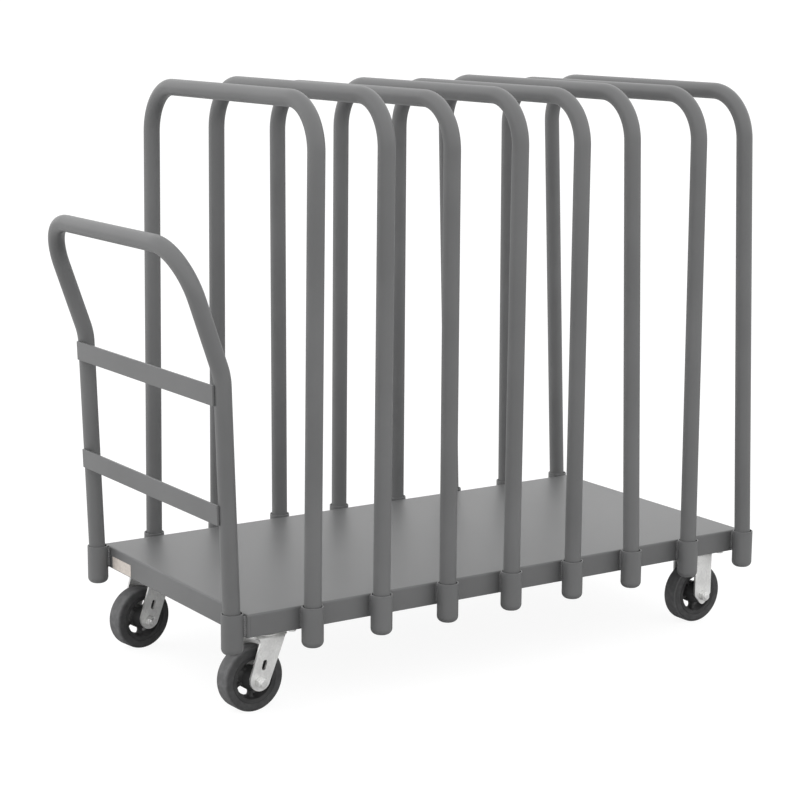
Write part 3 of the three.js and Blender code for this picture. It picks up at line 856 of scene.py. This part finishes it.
class Caster:
    """Where a caster stands: under its kingpin, how far it is turned and how its wheel trails."""

    def __init__(self, name):
        self.name = name
        self.swivel = name.startswith("swivel")
        hub = middle(f"{name}_hub")
        self.centre = (middle(f"{name}_kingpin") if self.swivel else hub) * GROUND_PLAN
        self.trail = float(np.hypot(*(hub - self.centre)[:2]))
        across = JOINTS[f"{name}_spin"]["axis"]
        self.turn = np.array([[across[1], across[0], 0], [-across[0], across[1], 0], [0, 0, 1]])
        self.axle = np.array([-self.trail, 0, hub[2]])

    def piece(self, kind, patches, slot, node=None, **more):
        """A piece made about the kingpin, straight ahead, then turned and moved to its place."""
        for patch in patches:
            patch.points = patch.points @ self.turn.T + self.centre
        replaces = node and f"{self.name}_{node}"
        return piece(f"{self.name}_{kind}", patches, slot, replaces=replaces, **more)


def leg_heights(bottom, shoulder, neck):
    """Heights of a leg's rows: close together at its end, then even up to the neck."""
    tip = shoulder - (shoulder - bottom) * np.cos(np.linspace(0, np.pi / 2, TIP_ROWS))
    return np.concatenate([tip, np.linspace(shoulder, neck, SHANK_ROWS)[1:]])


def pointed_leg(leg, hub, neck):
    """Heights and sides of a leg with a blunt point: a circle, a cone that touches it, full width.

    The cone's half angle is a. Its apex lies under the circle's middle by radius ÷ sin a."""
    radius, slope = leg["point_radius"], leg["point_angle"]
    bottom = hub[1] - leg["point_depth"]
    height = leg_heights(bottom, hub[1] + leg["point_rise"], neck)
    rise = height - bottom - radius
    circle = np.sqrt(np.clip(radius ** 2 - rise ** 2, 0, None))
    cone = (rise + radius / math.sin(slope)) * math.tan(slope)
    half = np.minimum(np.where(rise < -radius * math.sin(slope), circle, cone), leg["top"])
    return height, -half, half


def round_leg(leg, hub, neck, along):
    """Heights and sides of a leg with a round end: a circle and the lines that touch it."""
    top, end = leg["top"], leg["end"]
    centre = hub + leg["end_rise"] * along
    height = leg_heights(centre[1] - end, hub[1] + leg["end_rise"], neck)
    circle = np.sqrt(np.clip(end ** 2 - (height - centre[1]) ** 2, 0, None))

    def side(sign):
        """One side of the leg at every height."""
        away = np.array([sign * top, neck]) - centre
        turn = math.atan2(away[1], away[0]) - sign * math.acos(end / np.hypot(*away))
        touch = centre + end * np.array([math.cos(turn), math.sin(turn)])
        line = np.interp(height, [touch[1], neck], [touch[0], sign * top])
        return np.where(height < touch[1], centre[0] + sign * circle, line)

    return height, side(-1), side(1)


def fork_grid(leg, trail, crown, sizes):
    """The middle surface of a fork's sheet about its kingpin, as a grid with rows across the sheet.

    Rows climb one leg, fold into the crown and go down the other. A row's ends lie on the leg's
    outline, then on a flare of radius f that stands out by f − (f² − climb²)^½."""
    sheet, bend = sizes.fork_sheet, sizes.fork_bend
    top, flare = leg["top"], leg["flare"]
    leg_y = FORK_INSIDE + sheet / 2
    neck = crown - sheet - flare
    hub = np.array([-trail, AXLE_HEIGHT])
    along = unit(np.array([trail, crown - hub[1]]))
    if "point_depth" in leg:
        height, left, right = pointed_leg(leg, hub, neck)
    else:
        height, left, right = round_leg(leg, hub, neck, along)

    straight = crown - sheet / 2 - bend - neck
    folded = straight + bend * np.pi / 2
    fold = np.linspace(0, folded, FOLD_ROWS)[1:]
    climb = np.append(fold, np.linspace(folded, folded + leg_y - bend, CROWN_ROWS)[1:])
    swing = np.clip((climb - straight) / bend, 0, np.pi / 2)
    flat = np.clip(climb - folded, 0, None)
    y = np.append(np.full(len(height), leg_y), leg_y - bend * (1 - np.cos(swing)) - flat)
    z = np.append(height, neck + np.minimum(climb, straight) + bend * np.sin(swing))
    spread = top + flare - np.sqrt(flare ** 2 - np.minimum(climb, flare) ** 2)
    left, right = np.append(left, -spread)[:, None], np.append(right, spread)[:, None]
    x = left + (right - left) * np.linspace(0, 1, FORK_CELLS + 1)
    points = np.stack(np.broadcast_arrays(x, -y[:, None], z[:, None]), axis=-1).copy()
    keep = np.ones((len(y) - 1, FORK_CELLS), bool)

    slots = [leg["slot"]] if "slot" in leg else []
    for rise, half_width, half_length in [(0, sizes.axle_bore, sizes.axle_bore)] + slots:
        centre = np.array([hub[0] + rise * along[0], -leg_y, hub[1] + rise * along[1]])
        upright = np.array([along[0], 0, along[1]]) if rise else AXIS_Z
        ends = centre[2] + np.array([-1, 1]) * half_length * upright[2]
        rows = np.searchsorted(height, ends)
        across = np.cross(AXIS_Y, upright)
        cut_hole(points, keep, rows, centre, across, upright, half_width, half_length)
    whole = np.concatenate([points, points[-2::-1] * (1, -1, 1)])
    keep = np.concatenate([keep, keep[::-1]])
    if "pin_bore" in leg:
        crest, bore = len(points) - 1, leg["pin_bore"]
        centre = (crown - sheet / 2) * AXIS_Z
        rows = (crest - PIN_REACH, crest + PIN_REACH)
        cut_hole(whole, keep, rows, centre, AXIS_X, AXIS_Y, bore, bore)
    return whole, keep


def thicken(made, sheet):
    """Gives a sheet its thickness, half to each side, and softens its cut edges."""
    solidify = made.modifiers.new("sheet", "SOLIDIFY")
    solidify.thickness = sheet
    solidify.offset = 0
    solidify.use_even_offset = True
    soften = made.modifiers.new("edges", "BEVEL")
    soften.width = 0.7 * MM
    soften.segments = 3
    soften.limit_method = "ANGLE"
    soften.angle_limit = math.radians(50)
    soften.harden_normals = True


def make_forks(sizes):
    """Forks of bent sheet, slotted on the swivels, and the raceway round each swivel's crown."""
    plate_bottom = DECK_LOW[2] - sizes.plate_sheet
    bore, radius = sizes.race_bore, sizes.race_radius
    lap, cup_radius, cup_depth, foot_inset, lip = mm(0.1, 20, 4.6, 0.5, 3)
    for caster in map(Caster, CASTERS):
        crown = plate_bottom - (sizes.race_depth + FIT_GAP if caster.swivel else lap)
        leg = SWIVEL_LEG if caster.swivel else RIGID_LEG
        points, keep = fork_grid(leg, caster.trail, crown, sizes)
        yoke = caster.piece("yoke", [Patch(points, keep=keep)], "zinc", "fork")
        thicken(yoke, sizes.fork_sheet)
        if caster.swivel:
            floor = crown - cup_depth
            corners = [
                (bore, crown + lap), (cup_radius, floor), (radius - foot_inset, floor),
                (radius, crown), (radius - lip, crown + lap),
            ]
            race = lathe(rounded(corners, mm(0, 1, 2.5, 0.6, 0.4)), np.zeros(3))
            body = frame["nodes"][f"{caster.name}_fork"]["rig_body"]
            caster.piece("lower_race", [race], "zinc", body=body)


def make_plates(sizes):
    """Caster plates with round corners, the upper raceways, the kingpins and the plates' bolts."""
    half = (sizes.plate_length / 2, sizes.plate_width / 2, sizes.plate_sheet / 2)
    edge, lap, taper, lip = mm(0.8, 0.5, 1.5, 1.6)
    bottom = DECK_LOW[2] - sizes.plate_sheet
    low, high = bottom - sizes.race_depth, bottom + lap
    bore, radius = sizes.race_bore, sizes.race_radius
    corners = [(bore, low), (radius - taper, low), (radius, high), (bore, high)]
    race = rounded(corners, [0, lip, 0, 0])
    bolt_x, bolt_y, bolt_flats, bolt_depth, shut = mm(42.9, 38.1, 7.1, 5.6, 0.2)
    for caster in map(Caster, CASTERS):
        name, centre = caster.name, caster.centre
        sheet_middle = centre + (bottom + half[2]) * AXIS_Z
        patches = [slab(sheet_middle, np.eye(3), half, sizes.plate_corner, edge)]
        if caster.swivel:
            patches.append(lathe(race, centre))
            piece(f"{name}_top_plate", patches, "zinc", replaces=f"{name}_plate")
            make_kingpin(name, centre, low, sizes)
        else:
            piece(f"{name}_top_plate", patches, "zinc", "frame")
        seats = [centre + (x, y, bottom) for x in (-bolt_x, bolt_x) for y in (-bolt_y, bolt_y)]
        heads = [hexagon(seat, -AXIS_Z, bolt_flats, 0, bolt_depth, shut) for seat in seats]
        piece(f"{name}_plate_bolts", heads, "zinc", "frame")


def make_kingpin(name, centre, low, sizes):
    """The pin that a swivel turns on: a shank through the raceways and a nut under the crown."""
    drop, reach, nut_flats, nut_depth, nut_bore = mm(0.4, 10.3, 10, 8, 6.3)
    top_in, top_down, tip_in, tip_up = mm(0.35, 0.4, 0.75, 0.8)
    crown_bottom = low - FIT_GAP - sizes.fork_sheet
    top, tip = DECK_LOW[2] - drop, crown_bottom - reach
    radius = sizes.pin_radius
    shank = [
        (0, top), (radius - top_in, top), (radius, top - top_down),
        (radius, tip + tip_up), (radius - tip_in, tip), (0, tip),
    ]
    seat = centre + (crown_bottom - FIT_GAP) * AXIS_Z
    nut = hexagon(seat, -AXIS_Z, nut_flats, 0, nut_depth, nut_bore)
    pin = [lathe(shank, centre, closed=False), nut]
    piece(f"{name}_pin", pin, "zinc", replaces=f"{name}_kingpin")


# Wheels


def tyre_section(half, inner):
    """A tyre's section with round shoulders, and how much of each point is tread."""
    step, shoulder_depth, shoulder_width, wall_radius, tread_radius = mm(0.4, 5, 3, 3, 3.5)
    tread_drop, tread_fade = mm(3.2, 2.2)
    radius = WHEEL_RADIUS
    section = rounded(
        [(inner, step - half), (radius - shoulder_depth, -half), (radius, shoulder_width - half),
         (radius, half - shoulder_width), (radius - shoulder_depth, half), (inner, half - step)],
        [step, wall_radius, tread_radius, tread_radius, wall_radius, step],
        steps=6, support=0.6 * MM,
    )
    return section, np.clip((section[:, 0] - radius + tread_drop) / tread_fade, 0, 1)


def rim_section(half, inner, outer):
    """A rim's section: its inside widens from the middle to both faces."""
    draft, inner_step, outer_step = mm(4.5, 1, 0.2)
    return rounded(
        [(inner, 0), (inner + draft, inner_step - half), (outer, outer_step - half),
         (outer, half - outer_step), (inner + draft, half - inner_step)],
        mm(8, 1, 0.6, 0.6, 1),
    )


def boss_section(radius, half):
    """A boss's section: full round its waist and tapered to both ends."""
    bore, taper, waist = mm(10.2, 6, 9)
    end = radius - taper
    return rounded(
        [(bore, -half), (end, -half), (radius, -waist), (radius, waist), (end, half), (bore, half)],
        mm(0.4, 1.8, 6, 6, 1.8, 0.4),
    )


def spoke(centre, turn, start, end):
    """A cast spoke: a rounded section runs out from the boss, waisted between its flared ends.

    With s from 0 to 1 along it, half its width is width + widen × (2s − 1)², and half its depth is
    depth + deepen × (2s − 1)². The section is cos and sin of the angle round it, to a low power."""
    width, widen, depth, deepen = mm(3.6, 2.4, 7, 3)
    rows, sides, power = 15, 24, 0.6
    share = np.linspace(0, 1, rows)[:, None]
    bow = (2 * share - 1) ** 2
    cos, sin = turns(sides)
    across = (width + widen * bow) * np.sign(cos) * np.abs(cos) ** power
    deep = (depth + deepen * bow) * np.sign(sin) * np.abs(sin) ** power
    out = np.array([math.sin(turn), 0, math.cos(turn)])
    side = np.array([math.cos(turn), 0, -math.sin(turn)])
    along = start + (end - start) * share
    points = centre + along[..., None] * out + across[..., None] * side + deep[..., None] * AXIS_Y
    return Patch(points, close_columns=True, cap=True)


def make_wheels(sizes):
    """Wheels: a tyre turned from its section, and a centre of rim, boss and cast spokes."""
    half = TREAD_WIDTH / 2
    rim_outer = WHEEL_RADIUS - sizes.tyre_depth
    rim_inner = rim_outer - sizes.rim_depth
    tyre, tread = tyre_section(half, rim_outer + FIT_GAP)
    rim = rim_section(half, rim_inner, rim_outer)
    boss = boss_section(sizes.boss_radius, sizes.boss_length / 2)
    boss_root, rim_root = mm(3, 2.5)
    start, end = sizes.boss_radius - boss_root, rim_inner + rim_root
    turn = 2 * np.pi / sizes.spokes
    wheel_sides, boss_sides = 96, 72
    for caster in map(Caster, CASTERS):
        axle = caster.axle
        ring = [lathe(tyre, axle, AXIS_Y, wheel_sides, value=tread[:, None])]
        caster.piece("tread", ring, "rubber", "tyre", attribute="tread")
        patches = [lathe(rim, axle, AXIS_Y, wheel_sides), lathe(boss, axle, AXIS_Y, boss_sides)]
        patches += [spoke(axle, (i + 0.5) * turn, start, end) for i in range(sizes.spokes)]
        caster.piece("centre", patches, "iron", "hub")


def make_axles(sizes):
    """Axles: a spacer tube between a fork's legs, a hex bolt through it and a nut on its end."""
    radius, bore, flats = sizes.pin_radius, sizes.axle_bore, sizes.nut_flats
    outer = bore + sizes.spacer_wall
    end = FORK_INSIDE - FIT_GAP
    tube = rounded([(bore, -end), (outer, -end), (outer, end), (bore, end)], 0.5 * MM, steps=3)
    tail_reach, tail_radius, tail_chamfer, nut_lap, head_lap = mm(3, 5.4, 0.8, 0.5, 1)
    thread_radius, thread_depth, nut_bore, shut = mm(6.1, 0.25, 6.5, 0.3)
    ridges, sides = 9, 48
    seat = FORK_INSIDE + sizes.fork_sheet + FIT_GAP
    nut_face = -seat - sizes.nut_depth
    tail, in_head = nut_face - tail_reach, seat + head_lap
    ridge = thread_radius + thread_depth * np.cos(np.arange(ridges) * np.pi)
    thread = np.linspace(tail + tail_chamfer, nut_face + nut_lap, ridges)
    shank = np.concatenate([
        [(0, tail), (tail_radius, tail)],
        np.stack([ridge, thread], axis=1),
        [(radius, -seat), (radius, in_head), (0, in_head)],
    ])
    for caster in map(Caster, CASTERS):
        axle = caster.axle
        caster.piece("spacer", [lathe(tube, axle, AXIS_Y, sides)], "zinc", "sleeve")
        head = hexagon(axle, AXIS_Y, flats, seat, seat + sizes.head_depth, shut)
        bolt = [lathe(shank, axle, AXIS_Y, sides, closed=False), head]
        caster.piece("bolt", bolt, "zinc", "axle_bolt")
        nut = hexagon(axle, AXIS_Y, flats, -seat, nut_face, nut_bore)
        caster.piece("nut", [nut], "zinc", "axle_nut")


# Stage


def make_floor(stage):
    """Two plain floors: a pale paper that only the camera sees, and a grey one that gives light.

    The grey one, just below, takes the cart's real shade, so the space under the deck stays dim in
    reflections too."""
    matt = {"Roughness": 1.0, "Specular_IOR_Level": 0.0}
    paper_grey = 0.15
    paper = Finish(bpy.data.materials.new("stage_paper")).surface(
        Base_Color=grey(paper_grey), Emission_Color=grey(1), Emission_Strength=stage.paper, **matt
    )
    ground = Finish(bpy.data.materials.new("stage_ground")).surface(
        Base_Color=grey(stage.ground), **matt
    )
    reach = np.array([-400.0, 400.0])
    x, y = np.meshgrid(reach, reach, indexing="ij")
    for material, seen, depth in ((paper, True, 0), (ground, False, 1 * MM)):
        mesh = mesh_from(material.name, [Patch(np.stack([x, y, 0 * x - depth], axis=-1))])
        mesh.materials.append(material)
        floor = bpy.data.objects.new(material.name, mesh)
        bpy.context.scene.collection.objects.link(floor)
        floor.visible_camera = seen
        floor.visible_diffuse = floor.visible_glossy = floor.visible_shadow = not seen


def make_sky(stage):
    """Even white light from all round."""
    f = Finish(bpy.data.worlds.new("stage_sky"))
    white = {"Color": grey(1), "Strength": stage.sky}
    shader = f.node("ShaderNodeBackground", None, white)
    bpy.context.scene.world = f.close("ShaderNodeOutputWorld", shader)


def make_end_panel(stage):
    """A soft rectangular light beyond the handle, which leaves no reflection."""
    light = bpy.data.lights.new("end_panel", "AREA")
    light.shape = "RECTANGLE"
    light.size, light.size_y = stage.end_width, stage.end_height
    light.energy = stage.end_light
    panel = bpy.data.objects.new("end_panel", light)
    bpy.context.scene.collection.objects.link(panel)
    panel.visible_glossy = False
    panel.location = stage.end_place
    direction = Vector(stage.end_aim) - Vector(stage.end_place)
    panel.rotation_euler = direction.to_track_quat("-Z", "Y").to_euler()


def make_camera(stage):
    """The camera, turned, dipped and rolled from level."""
    lens = bpy.data.cameras.new("photo_camera")
    lens.lens = stage.camera_lens
    lens.sensor_width = stage.camera_sensor
    camera = bpy.data.objects.new("photo_camera", lens)
    bpy.context.scene.collection.objects.link(camera)
    turn = Matrix.Rotation(-stage.camera_turn, 4, "Z")
    dip = Matrix.Rotation(math.pi / 2 - stage.camera_dip, 4, "X")
    roll = Matrix.Rotation(stage.camera_roll, 4, "Z")
    camera.matrix_world = Matrix.Translation(stage.camera_place) @ turn @ dip @ roll
    bpy.context.scene.camera = camera


# Operators


class CART_OT_deck(bpy.types.Operator):
    """Makes the folded deck, its corner seams and its bare plate"""

    bl_idname = "cart.deck"
    bl_label = "Deck"

    def execute(self, context):
        make_deck(context.scene.cart_sizes)
        make_corner_seams(context.scene.cart_sizes)
        make_bare_plate()
        return {"FINISHED"}


class CART_OT_bolsters(bpy.types.Operator):
    """Paints the channels under the deck"""

    bl_idname = "cart.bolsters"
    bl_label = "Bolsters"

    def execute(self, context):
        make_bolsters()
        return {"FINISHED"}


class CART_OT_sockets(bpy.types.Operator):
    """Makes the sockets and their welds"""

    bl_idname = "cart.sockets"
    bl_label = "Sockets"

    def execute(self, context):
        make_sockets(context.scene.cart_sizes)
        make_socket_welds(context.scene.cart_sizes)
        return {"FINISHED"}


class CART_OT_loops(bpy.types.Operator):
    """Makes the eight lift-out loops"""

    bl_idname = "cart.loops"
    bl_label = "Loops"

    def execute(self, context):
        make_loops(context.scene.cart_sizes)
        return {"FINISHED"}


class CART_OT_handle(bpy.types.Operator):
    """Makes the push handle, its flat bars and their welds"""

    bl_idname = "cart.handle"
    bl_label = "Handle"

    def execute(self, context):
        make_handle(context.scene.cart_sizes)
        return {"FINISHED"}


class CART_OT_casters(bpy.types.Operator):
    """Makes the casters' plates, raceways, kingpins and forks"""

    bl_idname = "cart.casters"
    bl_label = "Casters"

    def execute(self, context):
        make_plates(context.scene.cart_sizes)
        make_forks(context.scene.cart_sizes)
        return {"FINISHED"}


class CART_OT_wheels(bpy.types.Operator):
    """Makes the tyres, spoked centres and axles"""

    bl_idname = "cart.wheels"
    bl_label = "Wheels"

    def execute(self, context):
        make_wheels(context.scene.cart_sizes)
        make_axles(context.scene.cart_sizes)
        return {"FINISHED"}


class CART_OT_stage(bpy.types.Operator):
    """Makes the light, the floor and the camera"""

    bl_idname = "cart.stage"
    bl_label = "Stage"

    def execute(self, context):
        context.scene.view_settings.view_transform = "Standard"
        for make in (make_sky, make_floor, make_end_panel, make_camera):
            make(context.scene.cart_stage)
        return {"FINISHED"}


OPERATORS = (
    CART_OT_deck, CART_OT_bolsters, CART_OT_sockets, CART_OT_loops,
    CART_OT_handle, CART_OT_casters, CART_OT_wheels, CART_OT_stage,
)


class CART_PT_panel(bpy.types.Panel):
    """Lists the cart's operators"""

    bl_idname = "CART_PT_panel"
    bl_label = "Sheet goods cart"
    bl_space_type = "VIEW_3D"
    bl_region_type = "UI"
    bl_category = "Cart"

    def draw(self, context):
        for operator in OPERATORS:
            self.layout.operator(operator.bl_idname)


GROUPS = {"cart_sizes": CartSizes, "cart_finish": CartFinish, "cart_stage": CartStage}


def register():
    for group in GROUPS.values():
        bpy.utils.register_class(group)
    for name, group in GROUPS.items():
        setattr(bpy.types.Scene, name, PointerProperty(type=group))
    for kind in (*OPERATORS, CART_PT_panel):
        bpy.utils.register_class(kind)


def unregister():
    for kind in (CART_PT_panel, *reversed(OPERATORS)):
        bpy.utils.unregister_class(kind)
    for name, group in GROUPS.items():
        delattr(bpy.types.Scene, name)
        bpy.utils.unregister_class(group)


def main():
    register()
    for operator in OPERATORS:
        group, call = operator.bl_idname.split(".")
        getattr(getattr(bpy.ops, group), call)()


if __name__ == "__main__":
    main()
